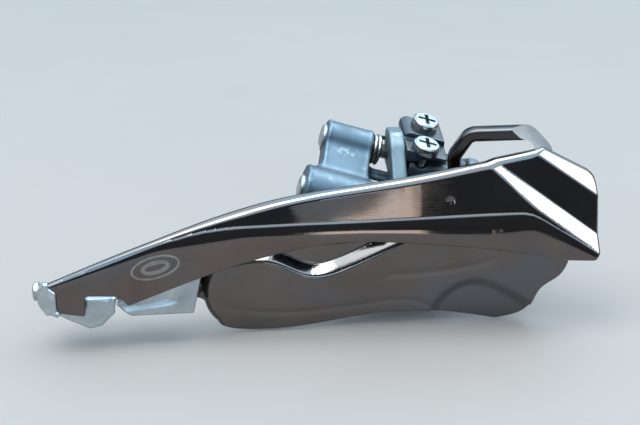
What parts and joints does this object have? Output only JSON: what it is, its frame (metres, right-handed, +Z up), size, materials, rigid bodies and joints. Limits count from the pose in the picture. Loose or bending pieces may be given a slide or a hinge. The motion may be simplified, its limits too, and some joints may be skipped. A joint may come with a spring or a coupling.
{
  "type": "front derailleur",
  "caption": "Bicycle front derailleur: clamp mount, parallel links on tilted pins, and a two-plate chain cage with a pressed lobe, bridge loop and limit screws.",
  "frame": {"origin": "on the seat tube's axis, level with the lower face of the clamp", "axes": "+X forward on the bicycle (towards the cage's nose), +Y inboard, from the chain cage towards the seat tube, +Z up along the seat tube"},
  "size_m": [0.1367, 0.07, 0.0507],
  "materials": {
    "dark_chrome": "mirror polished dark chrome on pressed steel",
    "satin_alloy": "satin bead-blasted alloy",
    "blue_grey_casting": "satin blue-grey anodised casting, light wear",
    "black_plastic": "black glass-filled nylon, satin",
    "bright_zinc": "bright zinc plated steel",
    "pin_steel": "turned steel",
    "spring_steel": "drawn spring wire",
    "bush_plastic": "dark low-friction polymer",
    "cast_zinc": "satin die-cast zinc, slightly mottled"
  },
  "bodies": {
    "mount": {"mount_body": "blue_grey_casting", "clamp_band": "blue_grey_casting", "clamp_hinge_pin": "pin_steel", "clamp_washer": "bright_zinc", "lower_outer_pin": "pin_steel", "lower_inner_pin": "pin_steel", "mount_pin_clip": "pin_steel"},
    "outer_link": {"outer_link": "blue_grey_casting", "outer_link_bushes": "bush_plastic"},
    "cage": {"outer_plate": "dark_chrome", "inner_plate": "dark_chrome", "cage_bracket": "satin_alloy", "bracket_rivets": "pin_steel", "bridge_loop": "dark_chrome", "stop_block": "black_plastic", "upper_outer_pin": "pin_steel", "upper_inner_pin": "pin_steel", "cage_pin_clips": "pin_steel", "tail_bridge": "cast_zinc", "tail_screw": "bright_zinc", "tail_insert": "cast_zinc", "return_spring": "spring_steel"},
    "inner_link": {"inner_link": "blue_grey_casting", "inner_link_bushes": "bush_plastic", "cable_washer": "bright_zinc"},
    "cable_bolt": {"cable_bolt": "bright_zinc"},
    "clamp_bolt": {"clamp_bolt": "bright_zinc"},
    "low_limit_screw": {"low_limit_screw": "bright_zinc"},
    "high_limit_screw": {"high_limit_screw": "bright_zinc"}
  },
  "joints": [
    {"name": "outer_link_swing", "type": "hinge", "parent": "mount", "child": "outer_link", "pos_m": [-0.01817, -0.0362, 0.03336], "axis": [0.9563, 0, -0.2924], "range_deg": [0, 68], "stiffness_Nm_per_rad": 0.35, "springref_deg": -40.11},
    {"name": "cage_pivot", "type": "hinge", "parent": "outer_link", "child": "cage", "pos_m": [-0.00261, -0.02431, 0.03979], "axis": [0.9563, 0, -0.2924], "range_deg": [-68, 0]},
    {"name": "inner_link_swing", "type": "hinge", "parent": "mount", "child": "inner_link", "pos_m": [0.01842, -0.0274, 0.01966], "axis": [0.9563, 0, -0.2924], "range_deg": [0, 68]},
    {"name": "low_limit_screw_turn", "type": "hinge", "parent": "cage", "child": "low_limit_screw", "pos_m": [0.00384, -0.03001, 0.04242], "axis": [0.2824, -0.2588, 0.9237], "continuous": true},
    {"name": "high_limit_screw_turn", "type": "hinge", "parent": "cage", "child": "high_limit_screw", "pos_m": [0.00498, -0.02181, 0.04615], "axis": [0.2824, -0.2588, 0.9237], "continuous": true},
    {"name": "cable_bolt_turn", "type": "hinge", "parent": "inner_link", "child": "cable_bolt", "pos_m": [0.01903, -0.01255, 0.02165], "axis": [0.9563, 0, -0.2924], "continuous": true},
    {"name": "clamp_bolt_turn", "type": "hinge", "parent": "mount", "child": "clamp_bolt", "pos_m": [0.0234, 0.006, 0.007], "axis": [0, 1, 0], "continuous": true}
  ],
  "couplings": [
    {"joint": "cage_pivot", "follows": "outer_link_swing", "ratio": -1},
    {"joint": "inner_link_swing", "follows": "outer_link_swing", "ratio": 1}
  ]
}
